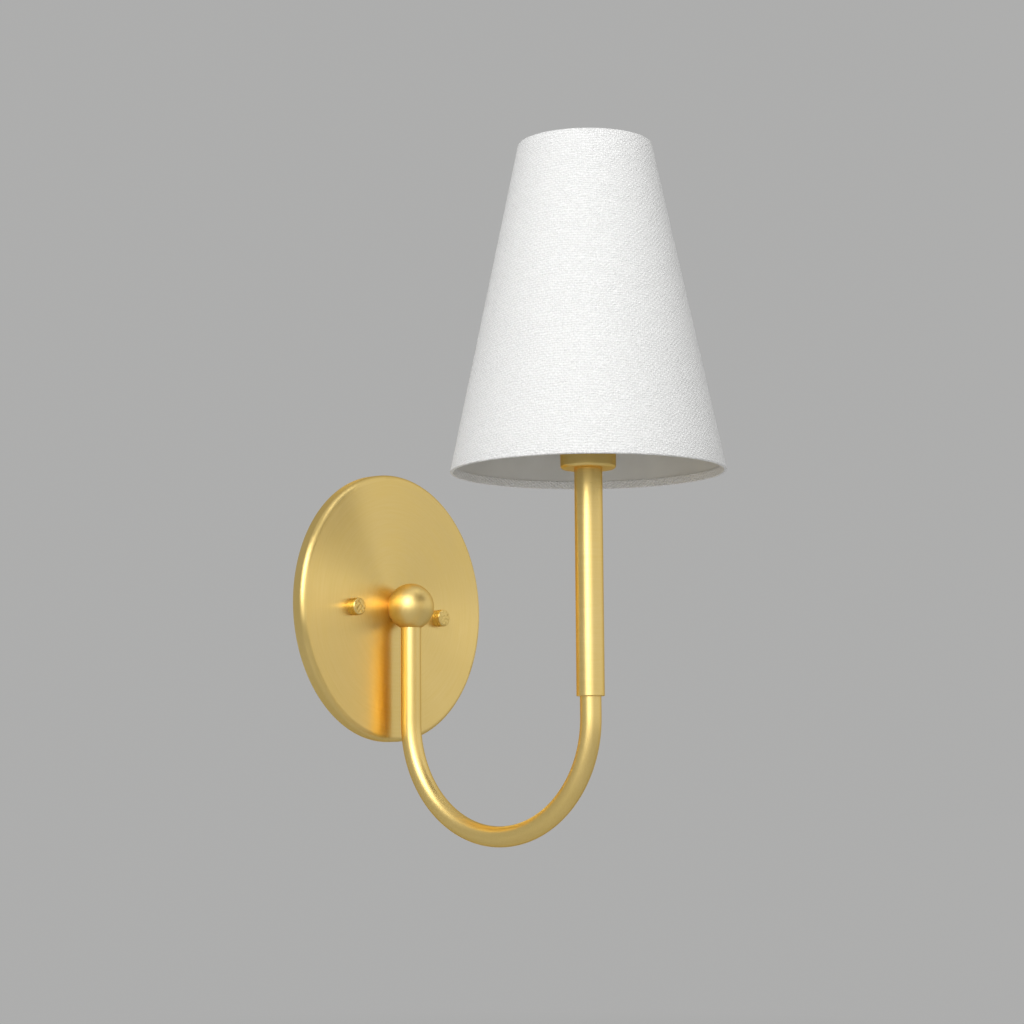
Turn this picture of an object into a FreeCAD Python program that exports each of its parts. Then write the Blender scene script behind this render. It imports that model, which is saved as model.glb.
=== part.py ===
import FreeCAD, Part
import math
import os

# Wall light with a conical fabric shade, all sizes in millimetres.
# Frame: origin at the centre of the crossbar's screw pattern, on the wall plane.
# +Z is up, +Y goes into the wall, +X is to the right of someone who faces the wall.

# Backplate: a spun pan whose rim stands on the wall
plate_z = 2.3                # centre of the pan above the crossbar's centre
plate_radius = 63.5
plate_depth = 6.5
plate_wall = 1.2
plate_edge_round = 2.4
stud_hole_clearance = 0.25

# Crossbar, studs and thumb nuts
bar_tilt = -2.3              # degrees in the slack of the box screws, right end lower
bar_length = 101.6
bar_width = 18.0
bar_thickness = 1.6
bar_centre_hole = 7.6
box_screw_circles = [88.9, 70.0]
box_screw_hole = 2.2
stud_spacing = 60.4
stud_radius = 2.08
stud_nut_height = 2.4
stud_nut_flats = 7.0
stud_reach = 10.4            # from the wall plane into the thumb nuts
stud_end_taper = 0.6
thumb_nut_radius = 4.05
thumb_nut_length = 4.7
thumb_nut_gap = 0.02         # off the plate's face
thumb_nut_neck = 0.9         # length of the thinner part next to the plate
thumb_nut_step = 0.3
thumb_nut_edge_round = 0.9
thumb_nut_groove = 2.0       # from the end face back to the groove
thumb_nut_groove_width = 0.4
ground_screw_place = -19.0
ground_screw_radius = 2.3
ground_head_radius = 3.9
ground_head_height = 1.9
ground_slot_width = 1.0
ground_slot_depth = 0.8
ground_screw_end = 2.1       # its end, from the bar's front

# Ball and its fixing
ball_radius = 11.0
ball_distance = 15.9         # ball centre to wall plane
nipple_radius = 4.8
nipple_bore = 3.2
nipple_end = 1.8             # its back end to the wall plane
thread_clearance = 0.05
lock_nut_height = 2.2
lock_nut_flats = 14.0
lock_washer_radius = 7.4
lock_washer_height = 0.7
lock_washer_split = 1.2
lock_washer_turn = 35.0      # degrees from the top to its split

# Arm: straight leg, half-circle bend, straight leg
arm_radius = 4.765
arm_wall = 0.9
bend_radius = 53.0
bend_centre_z = -52.3
arm_socket_depth = 5.0       # how far the leg goes up into the ball
arm_overlap = 13.0           # how far the other leg goes up into the stem

# Stem and socket cup
stem_radius = 6.3
stem_bore = 4.85
stem_bottom_z = -43.0
stem_end_round = 0.3
cup_radius = 12.5
cup_bottom_z = 58.7
cup_height = 15.6
cup_floor = 1.5
cup_wall = 1.0
cup_edge_round = 1.4
stem_nipple_below = 12.0
stem_nipple_above = 9.5
cup_nut_height = 3.0
cup_nut_flats = 14.0

# Candelabra lampholder, standing in the cup
holder_base_gap = 0.2
holder_boss_radius = 9.5
holder_boss_height = 12.0
holder_flange_radius = 15.5
holder_flange_height = 2.5
holder_skirt_radius = 13.4
holder_skirt_height = 18.5
holder_thread_height = 7.3
holder_chamber_radius = 6.5
holder_chamber_height = 4.5
holder_floor = 2.5
holder_edge_round = 0.6
holder_mouth_round = 0.8
shell_inside = 6.25
shell_wall = 0.5
shell_height = 18.0
contact_thickness = 0.6
contact_width = 3.0
contact_pin_radius = 0.9
contact_pin_below = 0.8
contact_post_radius = 1.2
contact_post_height = 3.0
terminal_offset = 3.2

# Conductors
wire_radius = 0.9
wire_offset = 1.1
wire_ball_bend = 5.0
wire_jog_bend = 2.2
wire_jog_angle = 45.0
wire_end_gap = 0.4

# Bulb
bulb_base_radius = 5.95
bulb_base_height = 15.0
bulb_base_shoulder = 1.6
bulb_insulator_radius = 3.0
bulb_tip_radius = 2.0
bulb_tip_height = 1.0
bulb_tip_round = 0.6
bulb_neck_radius = 6.6
bulb_neck_height = 4.0
bulb_glass_radius = 16.0
bulb_glass_height = 76.0
bulb_widest_low = 24.3       # up the glass to its widest stretch
bulb_widest_high = 31.9
bulb_end_radius = 3.0
bulb_end_height = 1.5
bulb_roundings = [6.0, 12.0, 40.0]

# Shade: truncated cone of cloth on a stiff liner
shade_bottom_radius = 62.0
shade_top_radius = 30.5
shade_height = 150.0
shade_bottom_z = 57.4
cloth_thickness = 0.4
liner_thickness = 0.5
layer_gap = 0.05
top_wire_radius = 1.2        # stands inside the liner
top_hem = 8.0
top_hem_slope = 3.0
bottom_hem = 3.8
rim_fold_round = 0.4
fitter_inside = 13.9
fitter_outside = 18.5
fitter_thickness = 1.2
fitter_arm_radius = 1.1
fitter_arm_count = 3
fitter_arm_first = 90.0
fitter_arm_start = 17.3
fitter_arm_run = 26.5
fitter_arm_bend = 5.0
fitter_arm_clearance = 0.3
collar_outside = 17.0
collar_height = 7.0
collar_gap = 0.1
collar_flutes = 24
collar_flute_radius = 0.8
collar_low_round = 0.5
collar_top_round = 0.8

# Worked out from the above
lamp_y = -(ball_distance + 2 * bend_radius)
plate_face_y = -plate_depth
plate_inner_y = -(plate_depth - plate_wall)
cup_floor_top = cup_bottom_z + cup_floor
holder_z = cup_floor_top + cup_nut_height + holder_base_gap
holder_flange_z = holder_z + holder_boss_height
holder_skirt_z = holder_flange_z + holder_flange_height
holder_floor_z = holder_flange_z
holder_floor_top = holder_floor_z + holder_floor
collar_z = holder_skirt_z + layer_gap + fitter_thickness + collar_gap
bulb_tip_z = holder_floor_top + contact_thickness + contact_post_height + collar_gap
slope = math.atan2(shade_bottom_radius - shade_top_radius, shade_height)
slant = shade_height / math.cos(slope)

X = FreeCAD.Vector(1, 0, 0)
Y = FreeCAD.Vector(0, 1, 0)
Z = FreeCAD.Vector(0, 0, 1)
AWAY = FreeCAD.Vector(0, -1, 0)
FULL_TURN = 360.0
HALF_TURN = 180.0


def rounded_wire(corners):
    """Closed outline through (point, radius) corners, each rounded by its radius."""
    count = len(corners)
    starts, ends, mids = [], [], []
    for i in range(count):
        point, radius = corners[i]
        back = corners[i - 1][0] - point
        ahead = corners[(i + 1) % count][0] - point
        back.normalize()
        ahead.normalize()
        half = back.getAngle(ahead) / 2
        if radius > 0:
            reach = radius / math.tan(half)
            middle = back + ahead
            middle.normalize()
            starts.append(point + back * reach)
            ends.append(point + ahead * reach)
            mids.append(point + middle * (radius / math.sin(half) - radius))
        else:
            starts.append(point)
            ends.append(point)
            mids.append(None)
    edges = []
    for i in range(count):
        if mids[i] is not None:
            edges.append(Part.Arc(starts[i], mids[i], ends[i]).toShape())
        following = starts[(i + 1) % count]
        if (following - ends[i]).Length > 1e-6:
            edges.append(Part.LineSegment(ends[i], following).toShape())
    return Part.Wire(edges)


def turned_on_lamp(outline):
    """Solid of revolution about the lamp axis from (radius, z[, rounding]) corners."""
    corners = []
    for corner in outline:
        rounding = corner[2] if len(corner) > 2 else 0
        corners.append((FreeCAD.Vector(corner[0], lamp_y, corner[1]), rounding))
    face = Part.Face(rounded_wire(corners))
    return face.revolve(FreeCAD.Vector(0, lamp_y, 0), Z, FULL_TURN)


def turned_from_wall(outline, x, z):
    """Solid of revolution about an axis square to the wall, from (radius, distance) corners."""
    corners = []
    for corner in outline:
        rounding = corner[2] if len(corner) > 2 else 0
        corners.append((FreeCAD.Vector(x + corner[0], -corner[1], z), rounding))
    face = Part.Face(rounded_wire(corners))
    return face.revolve(FreeCAD.Vector(x, 0, z), Y, FULL_TURN)


def wall_cylinder(radius, near, far, x, z):
    """Cylinder square to the wall, from one distance off the wall plane to another."""
    return Part.makeCylinder(radius, far - near, FreeCAD.Vector(x, -near, z), AWAY)


def lamp_cylinder(radius, low, high, x=0):
    """Upright cylinder on the lamp axis or beside it."""
    return Part.makeCylinder(radius, high - low, FreeCAD.Vector(x, lamp_y, low), Z)


def hexagon(flats, height, base, direction, side):
    """Hexagonal prism from its base centre along a direction, one corner towards side."""
    corner = flats / 2 / math.cos(math.pi / 6)
    across = direction.cross(side)
    points = []
    for i in range(7):
        angle = math.pi / 3 * i
        points.append(base + side * (corner * math.cos(angle)) + across * (corner * math.sin(angle)))
    return Part.Face(Part.makePolygon(points)).extrude(direction * height)


def swept(edges, radius):
    """Round section swept along lines and tangent arcs."""
    path = Part.Wire(edges)
    start = edges[0].valueAt(edges[0].FirstParameter)
    heading = edges[0].tangentAt(edges[0].FirstParameter)
    section = Part.Wire([Part.makeCircle(radius, start, heading)])
    return path.makePipeShell([section], True, False)


def line(start, end):
    return Part.LineSegment(start, end).toShape()


def arc(centre, radius, start_side, end_side):
    """Arc about a centre from one unit direction to another, less than a full turn apart."""
    middle = start_side + end_side
    if middle.Length < 1e-6:
        middle = FreeCAD.Vector(0, 0, -1)
    middle.normalize()
    ends = [centre + side * radius for side in (start_side, middle, end_side)]
    return Part.Arc(ends[0], ends[1], ends[2]).toShape()


def along_bar(distance):
    """X and Z of a point on the tilted crossbar's centre line."""
    angle = math.radians(bar_tilt)
    return distance * math.cos(angle), distance * math.sin(angle)


def backplate():
    rim_inside = plate_radius - plate_wall
    inner_depth = plate_depth - plate_wall
    pan = turned_from_wall([(0, plate_depth),
                            (plate_radius, plate_depth, plate_edge_round),
                            (plate_radius, 0),
                            (rim_inside, 0),
                            (rim_inside, inner_depth, plate_edge_round - plate_wall),
                            (0, inner_depth)], 0, plate_z)
    hole = nipple_radius + thread_clearance
    pan = pan.cut(wall_cylinder(hole, 0, 2 * plate_depth, 0, plate_z))
    for x, z in [along_bar(-stud_spacing / 2), along_bar(stud_spacing / 2)]:
        pan = pan.cut(wall_cylinder(stud_radius + stud_hole_clearance, 0, 2 * plate_depth, x, z))
    return pan


def crossbar():
    corner = FreeCAD.Vector(-bar_length / 2, -bar_thickness, -bar_width / 2)
    bar = Part.makeBox(bar_length, bar_thickness, bar_width, corner)
    ends = [edge for edge in bar.Edges if abs(edge.tangentAt(0).y) > 0.9]
    bar = bar.makeFillet(bar_width / 4, ends)
    bar.rotate(FreeCAD.Vector(0, 0, 0), Y, -bar_tilt)
    bar = bar.cut(wall_cylinder(bar_centre_hole, 0, bar_thickness, 0, 0))
    for circle in box_screw_circles:
        for x, z in [along_bar(-circle / 2), along_bar(circle / 2)]:
            bar = bar.cut(wall_cylinder(box_screw_hole, 0, bar_thickness, x, z))
    for x, z in [along_bar(-stud_spacing / 2), along_bar(stud_spacing / 2)]:
        bar = bar.cut(wall_cylinder(stud_radius + thread_clearance, 0, bar_thickness, x, z))
    x, z = along_bar(ground_screw_place)
    return bar.cut(wall_cylinder(ground_screw_radius + thread_clearance, 0, bar_thickness, x, z))


def mounting_studs():
    studs = []
    for x, z in [along_bar(-stud_spacing / 2), along_bar(stud_spacing / 2)]:
        tip = stud_radius - stud_end_taper
        studs.append(turned_from_wall([(0, 0), (stud_radius, 0),
                                       (stud_radius, stud_reach - stud_end_taper),
                                       (tip, stud_reach), (0, stud_reach)], x, z))
    return Part.makeCompound(studs)


def stud_nuts():
    nuts = []
    side = FreeCAD.Vector(*[along_bar(1)[0], 0, along_bar(1)[1]])
    for x, z in [along_bar(-stud_spacing / 2), along_bar(stud_spacing / 2)]:
        base = FreeCAD.Vector(x, -bar_thickness, z)
        nut = hexagon(stud_nut_flats, stud_nut_height, base, AWAY, side)
        nuts.append(nut.cut(wall_cylinder(stud_radius + thread_clearance, 0, stud_reach, x, z)))
    return Part.makeCompound(nuts)


def thumb_nut(place):
    """Nut with a thinner neck towards the plate and a groove behind its rounded end."""
    x, z = along_bar(place)
    back = plate_depth + thumb_nut_gap
    shoulder = back + thumb_nut_neck
    front = back + thumb_nut_length
    groove = front - thumb_nut_groove
    neck = thumb_nut_radius - thumb_nut_step
    nut = turned_from_wall([(0, back), (neck, back), (neck, shoulder),
                            (thumb_nut_radius, shoulder),
                            (thumb_nut_radius, groove - thumb_nut_groove_width),
                            (neck, groove - thumb_nut_groove_width), (neck, groove),
                            (thumb_nut_radius, groove),
                            (thumb_nut_radius, front, thumb_nut_edge_round), (0, front)], x, z)
    bore = wall_cylinder(stud_radius + thread_clearance, 0, stud_reach + thread_clearance, x, z)
    return nut.cut(bore)


def ground_screw():
    x, z = along_bar(ground_screw_place)
    base = FreeCAD.Vector(x, -bar_thickness, z)
    head = hexagon(2 * ground_head_radius, ground_head_height, base, AWAY, X)
    slot = Part.makeBox(4 * ground_head_radius, ground_slot_depth, ground_slot_width,
                        FreeCAD.Vector(x - 2 * ground_head_radius,
                                       base.y - ground_head_height, z - ground_slot_width / 2))
    shank = wall_cylinder(ground_screw_radius, 0, ground_screw_end, x, z)
    return head.cut(slot).fuse(shank).removeSplitter()


def wall_nipple():
    front = ball_distance - nipple_radius
    outside = wall_cylinder(nipple_radius, nipple_end, front, 0, plate_z)
    return outside.cut(wall_cylinder(nipple_bore, 0, ball_distance, 0, plate_z))


def lock_washer():
    front = plate_depth - plate_wall
    back = front - lock_washer_height
    ring = wall_cylinder(lock_washer_radius, back, front, 0, plate_z)
    ring = ring.cut(wall_cylinder(nipple_radius + thread_clearance, 0, plate_depth, 0, plate_z))
    gap = Part.makeBox(lock_washer_split, plate_depth, 2 * lock_washer_radius,
                       FreeCAD.Vector(-lock_washer_split / 2, -plate_depth, plate_z))
    gap.rotate(FreeCAD.Vector(0, 0, plate_z), Y, lock_washer_turn)
    return ring.cut(gap)


def lock_nut():
    front = plate_depth - plate_wall - lock_washer_height
    base = FreeCAD.Vector(0, -(front - lock_nut_height), plate_z)
    nut = hexagon(lock_nut_flats, lock_nut_height, base, AWAY, X)
    return nut.cut(wall_cylinder(nipple_radius + thread_clearance, 0, plate_depth, 0, plate_z))


def arm_ball():
    centre = FreeCAD.Vector(0, -ball_distance, plate_z)
    ball = Part.makeSphere(ball_radius, centre)
    ball = ball.cut(wall_cylinder(2 * ball_radius, 0, plate_depth, 0, plate_z))
    thread = nipple_radius + thread_clearance
    ball = ball.cut(wall_cylinder(thread, 0, ball_distance - nipple_radius, 0, plate_z))
    ball = ball.cut(wall_cylinder(nipple_bore, 0, ball_distance, 0, plate_z))
    passage = arm_radius - arm_wall
    low = FreeCAD.Vector(0, -ball_distance, plate_z - 2 * ball_radius)
    ball = ball.cut(Part.makeCylinder(passage, 2 * ball_radius, low, Z))
    socket = arm_radius + thread_clearance
    socket_height = 2 * ball_radius - arm_socket_depth
    return ball.cut(Part.makeCylinder(socket, socket_height, low, Z))


def arm_path(low_end_z, high_end_z, x=0):
    """Down from the ball, round the half circle and up the lamp axis."""
    wall_side = FreeCAD.Vector(x, -ball_distance, bend_centre_z)
    lamp_side = FreeCAD.Vector(x, lamp_y, bend_centre_z)
    centre = FreeCAD.Vector(x, lamp_y + bend_radius, bend_centre_z)
    start = FreeCAD.Vector(x, -ball_distance, low_end_z)
    end = FreeCAD.Vector(x, lamp_y, high_end_z)
    return [line(start, wall_side), arc(centre, bend_radius, Y, AWAY), line(lamp_side, end)]


def arm_tube():
    top = plate_z - arm_socket_depth
    end = stem_bottom_z + arm_overlap
    outside = swept(arm_path(top, end), arm_radius)
    beyond = 1.0
    inside = swept(arm_path(top + beyond, end + beyond), arm_radius - arm_wall)
    return outside.cut(inside)


def lamp_stem():
    tube = turned_on_lamp([(0, stem_bottom_z), (stem_radius, stem_bottom_z, stem_end_round),
                           (stem_radius, cup_bottom_z), (0, cup_bottom_z)])
    return tube.cut(lamp_cylinder(stem_bore, stem_bottom_z, cup_bottom_z))


def socket_cup():
    top = cup_bottom_z + cup_height
    inside = cup_radius - cup_wall
    cup = turned_on_lamp([(0, cup_bottom_z), (cup_radius, cup_bottom_z, cup_edge_round),
                          (cup_radius, top), (inside, top),
                          (inside, cup_floor_top, cup_edge_round - cup_wall), (0, cup_floor_top)])
    return cup.cut(lamp_cylinder(stem_bore, cup_bottom_z, top))


def stem_nipple():
    low = cup_bottom_z - stem_nipple_below
    high = cup_bottom_z + stem_nipple_above
    return lamp_cylinder(nipple_radius, low, high).cut(lamp_cylinder(nipple_bore, low, high))


def cup_nut():
    base = FreeCAD.Vector(0, lamp_y, cup_floor_top)
    nut = hexagon(cup_nut_flats, cup_nut_height, base, Z, X)
    return nut.cut(lamp_cylinder(stem_bore, cup_bottom_z, holder_z))


def lampholder_body():
    skirt_top = holder_skirt_z + holder_skirt_height
    chamber_low = holder_floor_z - holder_chamber_height
    bore = shell_inside + shell_wall + layer_gap
    body = turned_on_lamp([(stem_bore, holder_z), (holder_boss_radius, holder_z, holder_edge_round),
                           (holder_boss_radius, holder_flange_z),
                           (holder_flange_radius, holder_flange_z, holder_edge_round),
                           (holder_flange_radius, holder_skirt_z),
                           (holder_skirt_radius, holder_skirt_z),
                           (holder_skirt_radius, skirt_top, holder_mouth_round),
                           (bore, skirt_top), (bore, holder_floor_top), (0, holder_floor_top),
                           (0, holder_floor_z), (holder_chamber_radius, holder_floor_z),
                           (holder_chamber_radius, chamber_low), (stem_bore, chamber_low)])
    for x in (-terminal_offset, terminal_offset):
        pin_hole = contact_pin_radius + layer_gap
        body = body.cut(lamp_cylinder(pin_hole, holder_floor_z, holder_floor_top, x))
    return body


def contact_leaf(low_x, high_x):
    """Flat brass strip on the holder's floor."""
    low = FreeCAD.Vector(low_x, lamp_y - contact_width / 2, holder_floor_top)
    return Part.makeBox(high_x - low_x, contact_width, contact_thickness, low)


def screw_shell():
    outside = shell_inside + shell_wall
    low = holder_floor_top + contact_thickness
    high = holder_floor_top + shell_height
    shell = lamp_cylinder(outside, low, high).cut(lamp_cylinder(shell_inside, low, high))
    tab = contact_leaf(terminal_offset - contact_pin_radius, outside)
    tab = tab.common(lamp_cylinder(outside, holder_floor_top, high))
    pin = contact_pin(terminal_offset)
    return shell.fuse([tab, pin]).removeSplitter()


def contact_pin(x):
    low = holder_floor_z - contact_pin_below
    return lamp_cylinder(contact_pin_radius, low, holder_floor_top + contact_thickness, x)


def centre_contact():
    leaf = contact_leaf(-terminal_offset - contact_pin_radius, contact_post_radius)
    post_top = holder_floor_top + contact_thickness + contact_post_height
    post = lamp_cylinder(contact_post_radius, holder_floor_top, post_top)
    return leaf.fuse([post, contact_pin(-terminal_offset)]).removeSplitter()


def conductor(side):
    """One insulated lead from the wall plane through ball, arm and stem to its terminal."""
    x = side * wire_offset
    jog = math.radians(wire_jog_angle)
    end_x = side * terminal_offset
    end_z = holder_floor_z - contact_pin_below
    sideways = terminal_offset - wire_offset - 2 * wire_jog_bend * (1 - math.cos(jog))
    run = sideways / math.sin(jog)
    high = 2 * wire_jog_bend * math.sin(jog) + run * math.cos(jog)
    jog_z = end_z - wire_end_gap - high
    outward = FreeCAD.Vector(side, 0, 0)
    inward = FreeCAD.Vector(-side, 0, 0)
    leaning = outward * math.cos(jog) - Z * math.sin(jog)
    first_centre = FreeCAD.Vector(x, lamp_y, jog_z) + outward * wire_jog_bend
    second_centre = FreeCAD.Vector(end_x, lamp_y, jog_z + high) + inward * wire_jog_bend
    first_end = first_centre - leaning * wire_jog_bend
    second_start = second_centre + leaning * wire_jog_bend

    corner = FreeCAD.Vector(x, -ball_distance + wire_ball_bend, plate_z - wire_ball_bend)
    wall_end = FreeCAD.Vector(x, -wire_end_gap, plate_z)
    bend_start = FreeCAD.Vector(x, corner.y, plate_z)
    edges = [line(wall_end, bend_start), arc(corner, wire_ball_bend, Z, AWAY)]
    edges += arm_path(plate_z - wire_ball_bend, jog_z, x)
    edges += [arc(first_centre, wire_jog_bend, inward, leaning * -1),
              line(first_end, second_start),
              arc(second_centre, wire_jog_bend, leaning, outward),
              line(FreeCAD.Vector(end_x, lamp_y, jog_z + high), FreeCAD.Vector(end_x, lamp_y, end_z))]
    wire = swept(edges, wire_radius)
    length = sum(edge.Length for edge in edges)
    expected = math.pi * wire_radius ** 2 * length
    print("conductor length %.1f mm, volume over section x length %.4f" % (length, wire.Volume / expected))
    return wire


def shade_collar():
    top = collar_z + collar_height
    bore = holder_skirt_radius + thread_clearance
    ring = turned_on_lamp([(bore, collar_z), (collar_outside, collar_z, collar_low_round),
                           (collar_outside, top, collar_top_round), (bore, top)])
    for i in range(collar_flutes):
        angle = 2 * math.pi * i / collar_flutes
        reach = collar_outside + collar_flute_radius / 2
        groove = Part.makeCylinder(collar_flute_radius, collar_height, FreeCAD.Vector(
            reach * math.cos(angle), lamp_y + reach * math.sin(angle), collar_z), Z)
        ring = ring.cut(groove)
    return ring


def bulb_base():
    low = bulb_tip_z + bulb_tip_height
    high = low + bulb_base_height
    return turned_on_lamp([(0, low), (bulb_insulator_radius, low),
                           (bulb_base_radius, low + bulb_base_shoulder),
                           (bulb_base_radius, high), (0, high)])


def bulb_tip():
    high = bulb_tip_z + bulb_tip_height
    return turned_on_lamp([(0, bulb_tip_z), (bulb_tip_radius, bulb_tip_z, bulb_tip_round),
                           (bulb_tip_radius, high), (0, high)])


def bulb_glass():
    """Candle shape: neck, wide stretch low down, long taper to a small round end."""
    low = bulb_tip_z + bulb_tip_height + bulb_base_height
    top = low + bulb_glass_height
    neck_round, low_round, high_round = bulb_roundings
    return turned_on_lamp([(0, low), (bulb_neck_radius, low),
                           (bulb_neck_radius, low + bulb_neck_height, neck_round),
                           (bulb_glass_radius, low + bulb_widest_low, low_round),
                           (bulb_glass_radius, low + bulb_widest_high, high_round),
                           (bulb_end_radius, top - bulb_end_height, bulb_end_height), (0, top)])


def on_slope(along, inward):
    """Radius and z of a point measured up the cone's side and in from its outer surface."""
    radius = shade_bottom_radius - along * math.sin(slope) - inward * math.cos(slope)
    z = shade_bottom_z + along * math.cos(slope) - inward * math.sin(slope)
    return radius, z


def cone_outline(corners):
    """Corners in slope coordinates turned to (radius, z, rounding) ones."""
    return [on_slope(along, inward) + (rounding,) for along, inward, rounding in corners]


liner_inside = cloth_thickness + liner_thickness + 2 * layer_gap
cloth_inside = cloth_thickness + layer_gap
top_wire_inward = liner_inside + top_wire_radius
top_wire_along = slant - cloth_inside - top_wire_radius


def shade_cover():
    """Cloth outside the liner, turned in round the top wire and round the liner's bottom edge."""
    t = cloth_thickness
    top_fold = top_wire_inward + top_wire_radius + layer_gap
    high_low = slant - 2 * top_wire_radius - t
    high_seat = high_low - top_hem_slope
    high_end = slant - top_hem
    corners = [(0, 0, rim_fold_round), (slant, 0, rim_fold_round), (slant, top_fold + t, rim_fold_round),
               (high_low, top_fold + t, 0), (high_seat, liner_inside + t, 0),
               (high_end, liner_inside + t, 0), (high_end, liner_inside, 0),
               (high_seat, liner_inside, 0), (high_low, top_fold, 0),
               (slant - t, top_fold, 0), (slant - t, t, 0),
               (t, t, 0), (t, liner_inside, 0),
               (bottom_hem, liner_inside, 0), (bottom_hem, liner_inside + t, 0),
               (0, liner_inside + t, rim_fold_round)]
    cover = turned_on_lamp(cone_outline(corners))
    for i in range(fitter_arm_count):
        cover = cover.cut(fitter_arm(i, fitter_arm_radius + fitter_arm_clearance))
    return cover


def shade_liner():
    high = slant - cloth_inside
    inner = cloth_inside + liner_thickness
    return turned_on_lamp(cone_outline([(cloth_inside, cloth_inside, 0), (high, cloth_inside, 0),
                                        (high, inner, 0), (cloth_inside, inner, 0)]))


def fitter_arm(number, radius):
    """Wire from the fitter ring outwards, round a bend and up to the top wire."""
    angle = math.radians(fitter_arm_first + FULL_TURN / fitter_arm_count * number)
    out = FreeCAD.Vector(math.cos(angle), math.sin(angle), 0)
    axis = FreeCAD.Vector(0, lamp_y, 0)
    ring_z = holder_skirt_z + layer_gap + fitter_thickness / 2
    top_radius, top_z = on_slope(top_wire_along, top_wire_inward)
    start = axis + out * fitter_arm_start + Z * ring_z
    corner = axis + out * fitter_arm_run + Z * ring_z
    end = axis + out * top_radius + Z * top_z
    up = end - corner
    up.normalize()
    half = math.acos(-(out * up)) / 2
    reach = fitter_arm_bend / math.tan(half)
    bend_start = corner - out * reach
    bend_end = corner + up * reach
    middle = up - out
    middle.normalize()
    bend_middle = corner + middle * (fitter_arm_bend / math.sin(half) - fitter_arm_bend)
    edges = [line(start, bend_start), Part.Arc(bend_start, bend_middle, bend_end).toShape(),
             line(bend_end, end)]
    return swept(edges, radius)


def shade_frame():
    low = holder_skirt_z + layer_gap
    ring = turned_on_lamp([(fitter_inside, low), (fitter_outside, low),
                           (fitter_outside, low + fitter_thickness),
                           (fitter_inside, low + fitter_thickness)])
    arms = [fitter_arm(i, fitter_arm_radius) for i in range(fitter_arm_count)]
    radius, z = on_slope(top_wire_along, top_wire_inward)
    top_wire = Part.makeTorus(radius, top_wire_radius, FreeCAD.Vector(0, lamp_y, z), Z)
    return ring.fuse(arms + [top_wire]).removeSplitter()


def all_parts():
    return {
        "backplate": backplate(),
        "crossbar": crossbar(),
        "mounting_studs": mounting_studs(),
        "stud_nuts": stud_nuts(),
        "thumb_nut_left": thumb_nut(-stud_spacing / 2),
        "thumb_nut_right": thumb_nut(stud_spacing / 2),
        "ground_screw": ground_screw(),
        "wall_nipple": wall_nipple(),
        "lock_washer": lock_washer(),
        "lock_nut": lock_nut(),
        "arm_ball": arm_ball(),
        "arm_tube": arm_tube(),
        "lamp_stem": lamp_stem(),
        "socket_cup": socket_cup(),
        "stem_nipple": stem_nipple(),
        "cup_nut": cup_nut(),
        "lampholder_body": lampholder_body(),
        "screw_shell": screw_shell(),
        "centre_contact": centre_contact(),
        "line_wire": conductor(-1),
        "neutral_wire": conductor(1),
        "shade_collar": shade_collar(),
        "shade_frame": shade_frame(),
        "shade_liner": shade_liner(),
        "shade_cover": shade_cover(),
        "bulb_base": bulb_base(),
        "bulb_tip": bulb_tip(),
        "bulb_glass": bulb_glass(),
    }


os.makedirs("parts", exist_ok=True)
for node, shape in all_parts().items():
    print("%-18s solids %d valid %s volume %.1f" % (node, len(shape.Solids), shape.isValid(), shape.Volume))
    shape.exportStep("parts/" + node + ".step")
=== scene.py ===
import bpy
import math
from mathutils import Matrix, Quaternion, Vector


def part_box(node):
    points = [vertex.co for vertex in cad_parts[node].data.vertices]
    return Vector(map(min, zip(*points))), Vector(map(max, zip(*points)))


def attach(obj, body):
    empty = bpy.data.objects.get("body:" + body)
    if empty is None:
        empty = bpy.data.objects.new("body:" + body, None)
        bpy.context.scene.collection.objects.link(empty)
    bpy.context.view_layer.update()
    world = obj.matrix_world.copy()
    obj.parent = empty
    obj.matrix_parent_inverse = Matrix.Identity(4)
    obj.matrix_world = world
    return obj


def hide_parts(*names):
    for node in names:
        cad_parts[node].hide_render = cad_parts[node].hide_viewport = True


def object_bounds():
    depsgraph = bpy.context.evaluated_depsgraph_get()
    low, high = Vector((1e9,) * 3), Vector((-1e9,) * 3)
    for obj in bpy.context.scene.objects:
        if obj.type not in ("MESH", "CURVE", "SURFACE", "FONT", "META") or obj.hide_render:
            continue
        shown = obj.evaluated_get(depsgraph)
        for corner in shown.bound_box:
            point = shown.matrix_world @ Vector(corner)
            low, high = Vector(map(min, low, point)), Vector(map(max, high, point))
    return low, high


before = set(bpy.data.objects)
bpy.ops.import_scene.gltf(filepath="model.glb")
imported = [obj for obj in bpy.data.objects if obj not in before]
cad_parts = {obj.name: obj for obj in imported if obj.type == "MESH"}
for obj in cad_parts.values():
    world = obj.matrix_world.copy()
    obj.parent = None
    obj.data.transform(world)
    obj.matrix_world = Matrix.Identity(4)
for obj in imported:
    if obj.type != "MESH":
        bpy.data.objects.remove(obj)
cadLow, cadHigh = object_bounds()
bpy.ops.object.select_all(action="DESELECT")

mm = 0.001
fullTurn = 2 * math.pi
upward = Vector((0, 0, 1))
outOfWall = Vector((0, -1, 0))

# places read from the frame
stemLow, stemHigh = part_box("lamp_stem")
lampX = (stemLow.x + stemHigh.x) / 2
lampY = (stemLow.y + stemHigh.y) / 2
plateLow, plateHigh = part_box("backplate")
plateZ = (plateLow.z + plateHigh.z) / 2
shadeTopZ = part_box("shade_cover")[1].z


def pickNothing():
    bpy.ops.object.select_all(action="DESELECT")


def pickOnly(piece):
    pickNothing()
    piece.select_set(True)
    bpy.context.view_layer.objects.active = piece


def profileOf(corners):
    return [Vector(corner[:2]) for corner in corners]


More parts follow.
